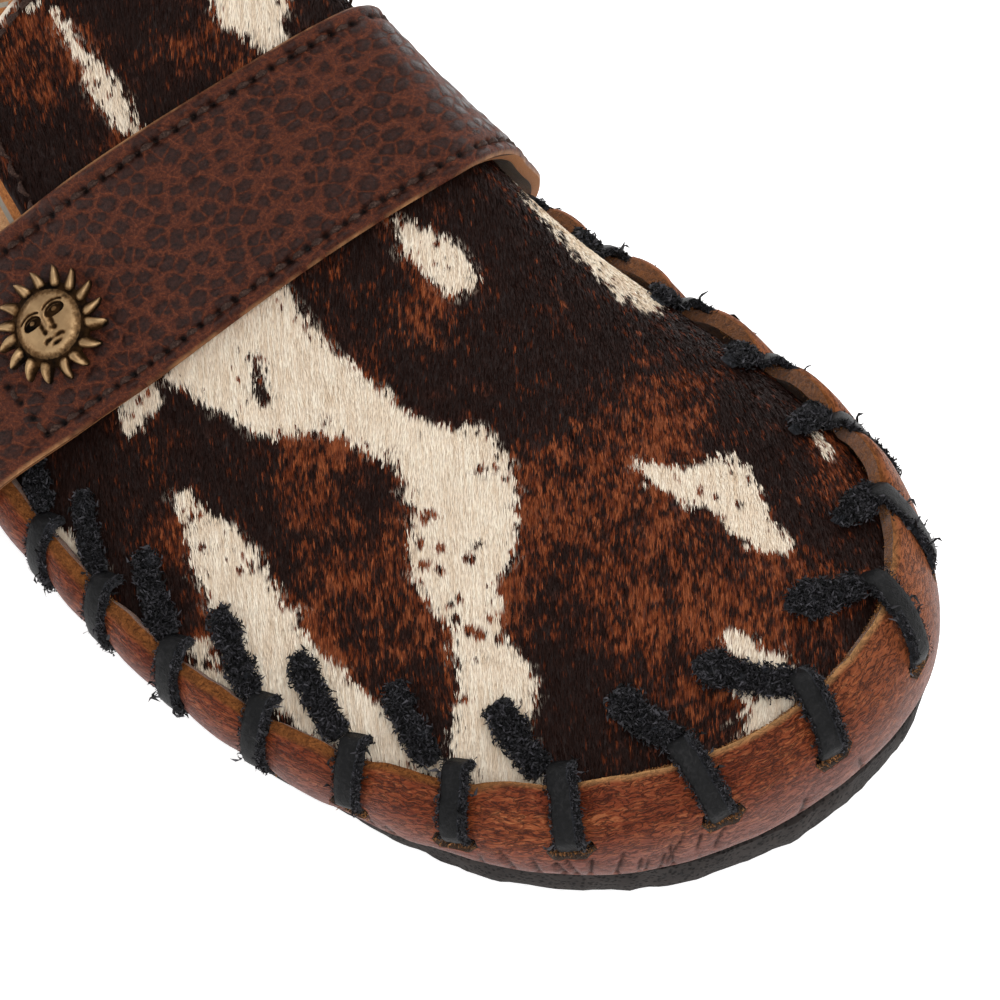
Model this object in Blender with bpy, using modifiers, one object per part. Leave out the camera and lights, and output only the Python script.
"""Western clog, right shoe.

A hair-on hide vamp is laced to a turned-up leather rand that wraps a moulded footbed on a foam rubber
outsole. A strap with a sun concho crosses the instep. The toe points to -Y, the inner side of the foot
is +X and the floor is z = 0. Sizes are in millimetres, and mesh_object turns them into metres.
"""

import math

import bmesh
import bpy
import numpy as np

MM = 0.001
GAP = 0.3

# Driving dimensions of the shoe
LENGTH = 282.0
OUTSOLE_THICK = 7.0
TOE_SPRING = 7.0
SPRING_START = 72.0
RAND_THICK = 2.0
VAMP_THICK = 2.2
STRAP_THICK = 2.2
LACE_WIDTH = 5.0
LACE_THICK = 1.3
CONCHO_RADIUS = 8.8
CONCHO_RAYS = 16
CONCHO_STAND = 0.6
CENTRE_X = -2.9
CENTRE_S = 140.8

# Outsole outline: place, x across, s back from the toe tip
OUTLINE = (
    ("toe tip", 6.0, 0.5),
    ("outer toe", -21.5, 10.8),
    ("outer toe bend", -39.6, 38.0),
    ("outer ball", -49.5, 92.0),
    ("outer waist", -42.0, 172.0),
    ("outer heel", -32.5, 240.0),
    ("outer heel corner", -21.0, 272.0),
    ("heel back", 0.0, LENGTH),
    ("inner heel corner", 21.0, 272.0),
    ("inner heel", 31.5, 240.0),
    ("inner waist", 32.5, 176.0),
    ("inner arch", 36.8, 119.0),
    ("inner ball", 45.4, 72.0),
    ("inner toe bend", 47.4, 33.0),
    ("inner toe", 33.0, 7.0),
)

# Rand sections along the edge. p: distance from the toe tip along the outline, outer side negative;
# bulge: widest reach past the outsole; bulge_z: its height; edge_z: height of the cut edge;
# inset: how far the edge lies inside the bulge; roll: how far it has rolled over, in degrees
RAND_COLUMNS = ("p", "bulge", "bulge_z", "edge_z", "inset", "roll")
RAND = (
    (-330.0, 0.8, 14.0, 25.0, 4.5, 68.0),
    (-230.0, 1.0, 14.0, 25.0, 4.5, 66.0),
    (-190.0, 1.8, 14.0, 24.5, 4.0, 60.0),
    (-150.0, 3.8, 14.0, 21.5, 3.8, 50.0),
    (-110.0, 4.2, 13.5, 20.0, 3.6, 48.0),
    (-60.0, 4.2, 13.0, 21.0, 5.5, 54.0),
    (-25.0, 3.2, 12.0, 23.5, 9.0, 60.0),
    (0.0, 1.8, 12.0, 24.5, 9.0, 60.0),
    (30.0, 1.4, 13.0, 26.0, 8.0, 58.0),
    (58.0, 2.0, 14.0, 27.5, 5.5, 48.0),
    (104.0, 1.5, 15.0, 27.0, 3.0, 33.0),
    (150.0, 0.5, 15.0, 26.5, 2.6, 30.0),
    (200.0, 1.2, 14.5, 25.5, 3.6, 50.0),
    (230.0, 1.0, 14.0, 25.0, 4.5, 66.0),
    (330.0, 0.8, 14.0, 25.0, 4.5, 68.0),
)
RAND_TUCK = 2.0
RAND_UNDER = 75.0

# Ridge of the upper: s, x, z
RIDGE_COLUMNS = ("s", "x", "z")
RIDGE = (
    (30.0, 8.0, 37.5),
    (60.0, 14.0, 44.0),
    (90.0, 19.0, 51.0),
    (120.0, 19.0, 60.5),
    (150.0, 16.0, 71.5),
    (190.0, 10.0, 87.0),
)

# Where a profile that starts at p meets the ridge
FAN_COLUMNS = ("p", "s")
FAN = (
    (0.0, 36.0),
    (24.0, 36.0),
    (60.0, 46.0),
    (100.0, 72.0),
    (130.0, 100.0),
    (165.0, 135.0),
    (215.0, 184.0),
)
VAMP_REACH = 205.0
VAMP_START = 8.0
FULL_EDGE = 0.85
FULL_RIDGE = 1.0

# Back edge of the vamp: place, x across, how far it lies behind the strap's middle line
COLLAR = (
    ("past the outer side", -80.0, 3.0),
    ("outer wing", -50.0, 3.5),
    ("outer turn", -36.0, 6.5),
    ("outer tongue root", -29.5, 14.0),
    ("outer tongue side", -27.0, 30.0),
    ("outer tongue corner", -20.5, 44.5),
    ("tongue back", 5.0, 48.5),
    ("inner tongue corner", 21.0, 44.5),
    ("inner tongue side", 26.0, 30.0),
    ("inner tongue root", 28.5, 14.0),
    ("inner turn", 34.0, 6.5),
    ("inner wing", 46.0, 3.5),
    ("past the inner side", 80.0, 3.0),
)

# Footbed top: s, height in the middle, rise of the outer rim, rise of the inner rim
FOOTBED_COLUMNS = ("s", "base", "outer", "inner")
FOOTBED = (
    (0.0, 18.5, 1.0, 1.0),
    (70.0, 17.0, 0.5, 0.5),
    (120.0, 17.5, 1.5, 2.0),
    (170.0, 18.5, 2.5, 3.6),
    (215.0, 17.5, 3.3, 3.6),
    (282.0, 18.2, 2.8, 2.8),
)
FOOTBED_INSET_FRONT = 7.2
FOOTBED_INSET_BACK = 4.2

# Strap: s of its middle on the ridge, its run along s there, how it leans back down the sides,
# how it slants across, and the angle where its ends stop on the rand
STRAP_S = 109.2
STRAP_RUN = 29.0
STRAP_LEAN = 0.33
STRAP_SLANT = -0.12
STRAP_STOP = -40.0
STRAP_CLEAR = 0.5

# Concho: its place along the strap from the outer end to the ridge
CONCHO_ALONG = 0.37

# Lace stitches, from the outer side round the toe to the inner side. p: where the stitch crosses the
# rand's edge; reach: from the edge in to its slit on the hide; slant: how far the bar on the hide starts
# before p; lean: how far past p the bar on the rand ends
LACE_COLUMNS = ("p", "reach", "slant", "lean")
LACE = (
    (-149.0, 7.0, 9.0, 4.0),
    (-134.5, 7.0, 9.0, 5.0),
    (-121.0, 8.0, 10.0, 5.0),
    (-106.0, 9.0, 11.0, 5.0),
    (-89.5, 10.0, 12.0, 4.0),
    (-74.0, 11.0, 13.0, 4.0),
    (-58.0, 13.0, 14.0, 4.0),
    (-41.5, 14.0, 15.0, 3.5),
    (-18.5, 14.0, 17.0, 2.0),
    (6.0, 13.0, 19.0, -2.0),
    (33.0, 12.0, 17.0, -8.0),
    (53.0, 9.0, 8.0, -10.0),
    (70.0, 10.0, 4.0, -10.0),
    (86.0, 10.0, 3.0, -10.0),
    (102.5, 9.0, 3.0, -9.0),
    (118.0, 7.0, 3.0, -8.0),
    (133.0, 7.0, 3.0, -6.0),
)
LACE_OUT = 9.5

COLOURS = {
    "black foam rubber": ((0.020, 0.018, 0.018), 0.85, 0.0),
    "tan leather": ((0.45, 0.27, 0.12), 0.7, 0.0),
    "chestnut leather": ((0.20, 0.075, 0.030), 0.5, 0.0),
    "hair-on hide": ((0.045, 0.018, 0.010), 0.6, 0.0),
    "pebbled leather": ((0.070, 0.027, 0.017), 0.45, 0.0),
    "antique brass": ((0.42, 0.30, 0.13), 0.4, 1.0),
    "black leather": ((0.012, 0.012, 0.013), 0.5, 0.0),
}


def smooth_table(rows, columns):
    """Return a function that reads one column of a table smoothly at any value of its first column."""
    data = np.array(rows, float)
    keys = data[:, 0]

    def read(column, at):
        values = data[:, columns.index(column)]
        slopes = np.gradient(values, keys)
        at = np.clip(np.asarray(at, float), keys[0], keys[-1])
        row = np.clip(np.searchsorted(keys, at, side="right") - 1, 0, len(keys) - 2)
        step = keys[row + 1] - keys[row]
        t = (at - keys[row]) / step
        rise = values[row + 1] - values[row]
        bend_a = slopes[row] * step - rise
        bend_b = rise - slopes[row + 1] * step
        return values[row] + t * rise + t * (1 - t) * ((1 - t) * bend_a + t * bend_b)

    return read


def closed_spline(points, count):
    """Points evenly spaced along a smooth closed curve through the given ones."""
    knots = np.array(points, float)
    n = len(knots)
    step = np.linalg.norm(np.roll(knots, -1, 0) - knots, axis=1) ** 0.5
    system = np.zeros((n, n))
    bend = np.zeros_like(knots)
    for i in range(n):
        after = (i + 1) % n
        system[i, i - 1] += step[i - 1]
        system[i, i] += 2 * (step[i - 1] + step[i])
        system[i, after] += step[i]
        bend[i] = (knots[after] - knots[i]) / step[i] - (knots[i] - knots[i - 1]) / step[i - 1]
    curve = np.linalg.solve(system, 6 * bend)
    fine = []
    for i in range(n):
        after = (i + 1) % n
        h = step[i]
        x = np.linspace(0, h, 120, endpoint=False)[:, None]
        y = h - x
        cubic = (curve[i] * y**3 + curve[after] * x**3) / (6 * h)
        line = (knots[i] / h - curve[i] * h / 6) * y + (knots[after] / h - curve[after] * h / 6) * x
        fine.append(cubic + line)
    fine = np.vstack(fine)
    fine = np.vstack([fine, fine[:1]])
    length = np.concatenate([[0], np.cumsum(np.linalg.norm(np.diff(fine, axis=0), axis=1))])
    even = np.linspace(0, length[-1], count + 1)
    return even, np.column_stack([np.interp(even, length, fine[:, k]) for k in range(2)])


EDGE_LENGTH, EDGE = closed_spline([(x, s) for _, x, s in OUTLINE], 1440)
PERIMETER = EDGE_LENGTH[-1]
EDGE_P = -EDGE_LENGTH
EDGE_RUN = np.gradient(EDGE, EDGE_P, axis=0)
EDGE_RUN /= np.linalg.norm(EDGE_RUN, axis=1)[:, None]

rand_at = smooth_table(RAND, RAND_COLUMNS)
ridge_at = smooth_table(RIDGE, RIDGE_COLUMNS)
fan_at = smooth_table(FAN, FAN_COLUMNS)
footbed_at = smooth_table(FOOTBED, FOOTBED_COLUMNS)


def edge_point(p):
    """Outline point and outward direction at edge distance p, both as (x, s)."""
    around = np.mod(-np.asarray(p, float), PERIMETER)
    point = np.stack([np.interp(around, EDGE_LENGTH, EDGE[:, k]) for k in range(2)], -1)
    run = np.stack([np.interp(around, EDGE_LENGTH, EDGE_RUN[:, k]) for k in range(2)], -1)
    run /= np.linalg.norm(run, axis=-1, keepdims=True)
    return point, np.stack([run[..., 1], -run[..., 0]], -1)


def lift(s):
    """Height that the toe spring adds at s."""
    return TOE_SPRING * np.clip((SPRING_START - s) / SPRING_START, 0, 1) ** 2


def rand_section(p, angle):
    """Outward reach and height of the rand's outer face, and its outward normal in that plane."""
    bulge, bulge_z = rand_at("bulge", p), rand_at("bulge_z", p)
    roll = np.radians(rand_at("roll", p))
    turn = np.radians(angle)
    under = math.radians(RAND_UNDER)
    upper = turn >= 0
    wide_up = rand_at("inset", p) / (1 - np.cos(roll))
    wide_down = (bulge + RAND_TUCK) / (1 - math.cos(under))
    tall_up = (rand_at("edge_z", p) - bulge_z) / np.sin(roll)
    tall_down = (bulge_z - OUTSOLE_THICK - GAP) / math.sin(under)
    wide = np.where(upper, wide_up, wide_down)
    tall = np.where(upper, tall_up, tall_down)
    reach = bulge - wide * (1 - np.cos(turn))
    height = bulge_z + tall * np.sin(turn)
    normal = np.stack([tall * np.cos(turn), wide * np.sin(turn)], -1)
    normal /= np.linalg.norm(normal, axis=-1, keepdims=True)
    return reach, height, normal


def place(p, reach, height):
    """Point (x, s, z) at a reach outside the outline and a height above the sprung floor."""
    point, out = edge_point(p)
    flat = point + out * np.asarray(reach)[..., None]
    return np.concatenate([flat, (height + lift(point[..., 1]))[..., None]], -1)


def rand_point(p, angle, sunk=0.0):
    """Point of the rand's outer face, or of a face sunk below it."""
    p, angle = np.broadcast_arrays(np.asarray(p, float), np.asarray(angle, float))
    reach, height, normal = rand_section(p, angle)
    return place(p, reach - sunk * normal[..., 0], height - sunk * normal[..., 1])


def vamp_point(p, v):
    """Point of the vamp's outer face: v from -1 under the rand to 0 at its edge to 1 on the ridge."""
    p, v = np.broadcast_arrays(np.asarray(p, float), np.asarray(v, float))
    roll = rand_at("roll", p)
    sunk = RAND_THICK + GAP
    hidden = rand_point(p, roll + np.minimum(v, 0) * (roll - VAMP_START), sunk)
    edge = rand_point(p, roll, sunk)
    _, out = edge_point(p)
    _, _, normal = rand_section(p, roll)
    start = np.concatenate([-out * normal[..., 1:], normal[..., :1]], -1)
    s_ridge = fan_at("s", np.abs(p))
    ridge = np.stack([ridge_at("x", s_ridge), s_ridge, ridge_at("z", s_ridge)], -1)
    slope = (ridge_at("z", s_ridge + 1) - ridge_at("z", s_ridge - 1)) / 2
    across = ridge[..., :2] - edge[..., :2]
    across /= np.linalg.norm(across, axis=-1, keepdims=True)
    finish = np.concatenate([across, (slope * across[..., 1])[..., None]], -1)
    chord = np.linalg.norm(ridge - edge, axis=-1, keepdims=True)
    t = np.clip(v, 0, 1)[..., None]
    bent = (2 * t**3 - 3 * t**2 + 1) * edge + (3 * t**2 - 2 * t**3) * ridge
    bent += (t**3 - 2 * t**2 + t) * chord * FULL_EDGE * start
    bent += (t**3 - t**2) * chord * FULL_RIDGE * finish
    return np.where((v < 0)[..., None], hidden, bent)


def ease(t):
    """Smooth step from 0 to 1."""
    t = np.clip(t, 0, 1)
    return t * t * (3 - 2 * t)


def profile_length(p):
    """Length of the vamp's profile from the rand's edge to the ridge."""
    steps = np.linspace(0, 1, 17)
    points = vamp_point(np.asarray(p, float)[..., None], steps)
    return np.linalg.norm(np.diff(points, axis=-2), axis=-1).sum(-1)


def bed_point(p, w):
    """Point of the upper as it lies outside: w along the profile from the rand's edge, in on the hide."""
    p, w = np.broadcast_arrays(np.asarray(p, float), np.asarray(w, float))
    roll = rand_at("roll", p)
    angles = roll[..., None] + np.linspace(0, 1, 33) * (-RAND_UNDER - roll)[..., None]
    walk = rand_point(p[..., None], angles)
    gone = np.linalg.norm(np.diff(walk, axis=-2), axis=-1).cumsum(-1)
    gone = np.concatenate([np.zeros_like(gone[..., :1]), gone], -1)
    down = np.clip(-w, 0, None)[..., None]
    row = np.clip((gone < down).sum(-1, keepdims=True) - 1, 0, 31)
    before, after = np.take_along_axis(gone, row, -1), np.take_along_axis(gone, row + 1, -1)
    part = np.clip((down - before) / (after - before), 0, 1)
    share = np.take_along_axis(angles, row, -1) * (1 - part) + np.take_along_axis(angles, row + 1, -1) * part
    share = share[..., 0]
    on_rand = rand_point(p, share)
    on_vamp = vamp_point(p, np.maximum(w, 0) / profile_length(p))
    return np.where((w <= 0)[..., None], on_rand, on_vamp)


def raised(p, w, height):
    """Bed point moved out along the surface's normal."""
    step = 0.2
    along = bed_point(p + step, w) - bed_point(p - step, w)
    w_side = np.where(w > 0, np.maximum(w, 2 * step), np.minimum(w, -2 * step))
    inward = bed_point(p, w_side + step) - bed_point(p, w_side - step)
    normal = np.cross(along, inward)
    normal /= np.linalg.norm(normal, axis=-1, keepdims=True)
    return bed_point(p, w) + normal * np.asarray(height)[..., None]


def world(points):
    """Shoe sizes (x, s, z) in millimetres to the part's frame in metres."""
    points = np.asarray(points, float)
    return (points - np.array([CENTRE_X, CENTRE_S, 0.0])) * MM


def material(name):
    made = bpy.data.materials.get(name)
    if made is None:
        colour, rough, metal = COLOURS[name]
        made = bpy.data.materials.new(name)
        made.use_nodes = True
        shader = made.node_tree.nodes["Principled BSDF"]
        shader.inputs["Base Color"].default_value = (*colour, 1.0)
        shader.inputs["Roughness"].default_value = rough
        shader.inputs["Metallic"].default_value = metal
    return made


def collection(name):
    made = bpy.data.collections.new(name)
    bpy.context.scene.collection.children.link(made)
    return made


def mesh_object(name, points, faces, look, group):
    """Object from points in shoe millimetres and faces that index them."""
    mesh = bpy.data.meshes.new(name)
    mesh.from_pydata([tuple(v) for v in world(points)], [], faces)
    if look is not None:
        mesh.materials.append(material(look))
    made = bpy.data.objects.new(name, mesh)
    group.objects.link(made)
    return made


def face_outward(made):
    """Turn all faces of a closed or open mesh to one side, away from its middle."""
    work = bmesh.new()
    work.from_mesh(made.data)
    bmesh.ops.recalc_face_normals(work, faces=work.faces)
    work.to_mesh(made.data)
    work.free()


def grid_faces(rows, columns, closed=False):
    """Quads of a grid whose points run column by column within each row."""
    faces = []
    for r in range(rows - 1):
        for c in range(columns if closed else columns - 1):
            d = (c + 1) % columns
            faces.append((r * columns + c, r * columns + d, (r + 1) * columns + d, (r + 1) * columns + c))
    return faces


def loft(name, sections, look, group):
    """Closed solid through a row of closed sections with the same number of points."""
    rows, columns = sections.shape[:2]
    faces = grid_faces(rows, columns, closed=True)
    faces.append(tuple(range(columns - 1, -1, -1)))
    faces.append(tuple((rows - 1) * columns + c for c in range(columns)))
    made = mesh_object(name, sections.reshape(-1, 3), faces, look, group)
    face_outward(made)
    return made


def shell(made, thick):
    """Give an open surface a wall on its inner side."""
    wall = made.modifiers.new("wall", "SOLIDIFY")
    wall.thickness = thick * MM
    wall.offset = -1.0
    wall.use_even_offset = True
    return wall


def cut(made, cutter):
    """Cut one mesh out of another."""
    cutter.hide_render = True
    cutter.display_type = "WIRE"
    knife = made.modifiers.new("cut", "BOOLEAN")
    knife.operation = "DIFFERENCE"
    knife.solver = "EXACT"
    knife.object = cutter


def side_reach(inset, s):
    """Outer and inner x of the outline, moved in by inset, at each s."""
    p = np.linspace(0, PERIMETER / 2, 700)
    both = []
    for sign in (-1, 1):
        point, out = edge_point(sign * p)
        moved = point - out * np.asarray(inset(sign * p))[..., None]
        order = np.argsort(moved[:, 1])
        both.append(np.interp(s, moved[order, 1], moved[order, 0]))
    return both


def stations(first, last, count):
    """Stations that crowd towards both ends, where the outline turns."""
    turn = np.linspace(0, math.pi, count)
    return first + (last - first) * (1 - np.cos(turn)) / 2


def make_outsole(group):
    taper = 0.8
    sections = []
    tip = edge_point(0.0)[0][1]
    for s in stations(tip + 0.25, LENGTH - 0.25, 46):
        top = side_reach(lambda p: 0.0 * p, s)
        low = [top[0] + min(taper, (top[1] - top[0]) / 4), top[1] - min(taper, (top[1] - top[0]) / 4)]
        z = lift(s)
        sections.append(
            [(top[0], s, OUTSOLE_THICK + z), (low[0], s, z), (low[1], s, z), (top[1], s, OUTSOLE_THICK + z)]
        )
    return loft("outsole", np.array(sections), "black foam rubber", group)


def footbed_inset(p):
    """The footbed leaves room for rand and vamp in front and for the rand alone behind."""
    back = ease((np.abs(p) - 135.0) / 40.0)
    return FOOTBED_INSET_FRONT + (FOOTBED_INSET_BACK - FOOTBED_INSET_FRONT) * back


def make_footbed(group):
    across = np.linspace(-1, 1, 9)
    sections = []
    first = FOOTBED_INSET_FRONT + 0.3
    last = LENGTH - FOOTBED_INSET_BACK - 0.3
    for s in stations(first, last, 34):
        outer, inner = side_reach(footbed_inset, s)
        x = (outer + inner) / 2 + across * (inner - outer) / 2
        rise_out = footbed_at("outer", s) * np.clip((-across - 0.3) / 0.7, 0, 1) ** 2
        rise_in = footbed_at("inner", s) * np.clip((across - 0.3) / 0.7, 0, 1) ** 2
        top = footbed_at("base", s) + rise_out + rise_in + lift(s)
        low = OUTSOLE_THICK + GAP + lift(s)
        ring = [(outer, s, low)]
        ring += [(a, s, b) for a, b in zip(x, top)]
        ring += [(inner, s, low)]
        sections.append(ring)
    return loft("footbed", np.array(sections), "tan leather", group)


def make_rand(group, cutters):
    columns = 100
    p = np.linspace(-PERIMETER / 2, PERIMETER / 2, columns, endpoint=False)
    share = np.array((0.0, 0.22, 0.45, 0.62, 0.75, 0.88, 1.0))
    rows = [rand_point(p, -RAND_UNDER + f * (rand_at("roll", p) + RAND_UNDER)) for f in share]
    faces = grid_faces(len(share), columns, closed=True)
    made = mesh_object("rand", np.vstack(rows), faces, "chestnut leather", group)
    shell(made, RAND_THICK)
    cut(made, make_slits(cutters))
    return made


def lace_path(p, reach, slant, lean):
    """Edge distance and profile distance along one stitch, from the hide's slit to the rand's."""
    w = np.linspace(reach, -LACE_OUT, 10)
    on_hide = slant * ease(np.clip((w - 1.0) / (reach - 1.0), 0, 1))
    return p - on_hide + lean * np.clip(-w / LACE_OUT, 0, 1), w


def lace_height(w):
    """Clearance over the hide, with a step up to the rand's face before its edge."""
    step = (RAND_THICK + GAP) * (1 - ease((w - 2.0) / 3.6))
    return GAP + np.where(w > 0, step, 0.0)


def make_lace(group):
    for number, row in enumerate(LACE, 1):
        path_p, path_w = lace_path(*row)
        sides = []
        for off in (-0.5, 0.5):
            for thick in (0.0, LACE_THICK):
                height = lace_height(path_w) + thick
                sides.append(raised(path_p + off * LACE_WIDTH, path_w, height))
        ring = np.stack([sides[0], sides[1], sides[3], sides[2]], 1)
        loft(f"lace_{number:02d}", ring, "black leather", group)


def make_slits(cutters):
    """One cutter with a slot in the rand at the lower end of each stitch."""
    points, faces = [], []
    for row in LACE:
        path_p, path_w = lace_path(*row)
        corners = []
        for depth in (1.5, -4.0):
            for off, drop in ((-0.5, 0.6), (0.5, 0.6), (0.5, -1.6), (-0.5, -1.6)):
                at_p = np.array(path_p[-1] + off * (LACE_WIDTH + 1.2))
                at_w = np.array(path_w[-1] + drop)
                corners.append(raised(at_p, at_w, np.array(depth)))
        start = len(points)
        points += corners
        box = ((0, 1, 2, 3), (7, 6, 5, 4), (0, 4, 5, 1), (1, 5, 6, 2), (2, 6, 7, 3), (3, 7, 4, 0))
        faces += [tuple(start + k for k in face) for face in box]
    made = mesh_object("slit_cutter", points, faces, None, cutters)
    face_outward(made)
    return made


def make_vamp(group, cutters):
    """Hollow upper: profiles from the edge to the ridge, fanned round the toe, then cut at the collar."""
    side = np.concatenate([np.linspace(8, 24, 3), np.linspace(31, VAMP_REACH, 22)])
    p = np.concatenate([-side[::-1], [0.0], side])
    levels = np.concatenate([[-1.0, -0.5], np.linspace(0, 1, 12)])
    grid = vamp_point(p[None, :], levels[:, None])
    rows, columns = grid.shape[:2]
    points = list(grid[:-1].reshape(-1, 3))
    faces = grid_faces(rows - 1, columns)
    ridge = {}
    top = []
    for c in range(columns):
        key = round(float(fan_at("s", abs(p[c]))), 4)
        if key not in ridge:
            ridge[key] = len(points)
            points.append(grid[-1, c])
        top.append(ridge[key])
    low = (rows - 2) * columns
    for c in range(columns - 1):
        corners = [low + c, low + c + 1, top[c + 1], top[c]]
        faces.append(tuple(dict.fromkeys(corners)))
    made = mesh_object("vamp", points, faces, "hair-on hide", group)
    face_outward(made)
    shell(made, VAMP_THICK)
    cut(made, make_collar_cutter(cutters))
    return made


def open_curve(points, count):
    """Smooth open curve through a few points."""
    knots = np.array(points, float)
    keys = np.concatenate([[0], np.cumsum(np.linalg.norm(np.diff(knots, axis=0), axis=1) ** 0.5)])
    read = smooth_table(np.column_stack([keys, knots]), ("key", "x", "s"))
    at = np.linspace(0, keys[-1], count)
    return np.column_stack([read("x", at), read("s", at)])


def strap_line(x, z):
    """s of the strap's middle line at a place across the shoe and a height."""
    fall = ridge_at("z", STRAP_S) - z
    return STRAP_S + STRAP_LEAN * fall + STRAP_SLANT * (x - ridge_at("x", STRAP_S))


def make_collar_cutter(cutters):
    """Block behind the collar line, leaning like the strap."""
    line = open_curve([(x, back) for _, x, back in COLLAR], 57)
    ring = np.vstack([line, [(80.0, 250.0), (-80.0, 250.0)]])
    levels = []
    for z in (-20.0, 140.0):
        s = strap_line(ring[:, 0], z) + ring[:, 1]
        levels.append(np.column_stack([ring[:, 0], s, np.full(len(ring), z)]))
    return loft("collar_cutter", np.stack(levels), None, cutters)


def strap_point(side, across, along):
    """Inner face of the strap: side -1 or 1, across from -1 in front to 1 behind, along from end to ridge."""
    p = side * np.linspace(62.0, 200.0, 140)
    roll = rand_at("roll", p)
    drop = np.linalg.norm(np.diff(rand_point(p[:, None], np.linspace(0, 1, 25) * (STRAP_STOP - roll)[:, None]
                                             + roll[:, None]), axis=1), axis=-1).sum(1)
    reach = profile_length(p)
    w = -drop + along * (drop + reach)
    on_lace = 1 - ease((w - 14.0) / 14.0)
    on_end = ease((w + drop) / 4.0)
    step = (RAND_THICK + GAP) * np.where(w > 0, 1 - ease(w / 16.0), 0.0)
    height = STRAP_CLEAR + (LACE_THICK + GAP + 0.2) * on_lace * on_end + step
    points = raised(p, w, height)
    middle = STRAP_S + across * STRAP_RUN / 2
    fall = ridge_at("z", middle) - points[:, 2]
    wanted = middle + STRAP_LEAN * fall + STRAP_SLANT * (points[:, 0] - ridge_at("x", middle))
    miss = points[:, 1] - wanted
    order = np.argsort(miss)
    return np.array([np.interp(0.0, miss[order], points[order, k]) for k in range(3)])


def strap_grid(along_count, across_count):
    """Points of the strap's inner face from the outer end over the ridge to the inner end."""
    along = np.linspace(0, 1, along_count) ** 1.4
    across = np.linspace(-1, 1, across_count)
    outer = np.array([[strap_point(-1, a, t) for a in across] for t in along])
    inner = np.array([[strap_point(1, a, t) for a in across] for t in along])
    return np.concatenate([outer[:-1], (outer[-1:] + inner[-1:]) / 2, inner[-2::-1]])


def make_strap(group):
    grid = strap_grid(20, 5)
    rows, columns = grid.shape[:2]
    made = mesh_object("strap", grid.reshape(-1, 3), grid_faces(rows, columns), "pebbled leather", group)
    shell(made, STRAP_THICK)
    return made


def make_concho(group):
    """Cast sun: a domed face, a plain border and a ring of ridged rays."""
    rings = (
        ("face", 0.26, 2.5, 0.26, 2.5),
        ("cheek", 0.46, 1.9, 0.46, 1.9),
        ("border", 0.56, 1.1, 0.56, 1.1),
        ("ray root", 0.66, 1.2, 0.62, 0.6),
        ("ray tip", 1.0, 0.8, 0.64, 0.6),
    )
    turn = np.arange(2 * CONCHO_RAYS) * math.pi / CONCHO_RAYS
    ray = np.arange(2 * CONCHO_RAYS) % 2 == 0
    points = [(0.0, 0.0, 2.7)]
    for _, ray_r, ray_z, gap_r, gap_z in rings:
        radius = np.where(ray, ray_r, gap_r) * CONCHO_RADIUS
        height = np.where(ray, ray_z, gap_z)
        points += list(zip(radius * np.cos(turn), radius * np.sin(turn), height))
    last = points[-2 * CONCHO_RAYS:]
    points += [(x, y, 0.0) for x, y, _ in last]
    points.append((0.0, 0.0, 0.0))
    n = 2 * CONCHO_RAYS
    faces = [(0, 1 + c, 1 + (c + 1) % n) for c in range(n)]
    faces += [tuple(k + 1 for k in face) for face in grid_faces(len(rings) + 1, n, closed=True)]
    base = 1 + len(rings) * n
    faces += [(len(points) - 1, base + (c + 1) % n, base + c) for c in range(n)]
    seat, axes = concho_seat()
    local = np.array(points) @ axes
    made = mesh_object("sun_concho", seat + local, faces, "antique brass", group)
    face_outward(made)
    return made


def concho_seat():
    """Centre on the strap's outer face and its axes: along the strap, towards the heel, outwards."""
    middle = strap_point(-1, 0.0, CONCHO_ALONG)
    along = strap_point(-1, 0.0, CONCHO_ALONG + 0.06) - strap_point(-1, 0.0, CONCHO_ALONG - 0.06)
    across = strap_point(-1, 0.4, CONCHO_ALONG) - strap_point(-1, -0.4, CONCHO_ALONG)
    out = np.cross(along, across)
    out /= np.linalg.norm(out)
    along /= np.linalg.norm(along)
    seat = middle + out * (STRAP_THICK + CONCHO_STAND)
    return seat, np.stack([along, np.cross(out, along), out])


def main():
    for old in list(bpy.data.objects):
        bpy.data.objects.remove(old, do_unlink=True)
    parts = collection("western_clog")
    cutters = collection("cutters")
    make_outsole(parts)
    make_footbed(parts)
    make_rand(parts, cutters)
    make_vamp(parts, cutters)
    make_strap(parts)
    make_concho(parts)
    make_lace(parts)


main()
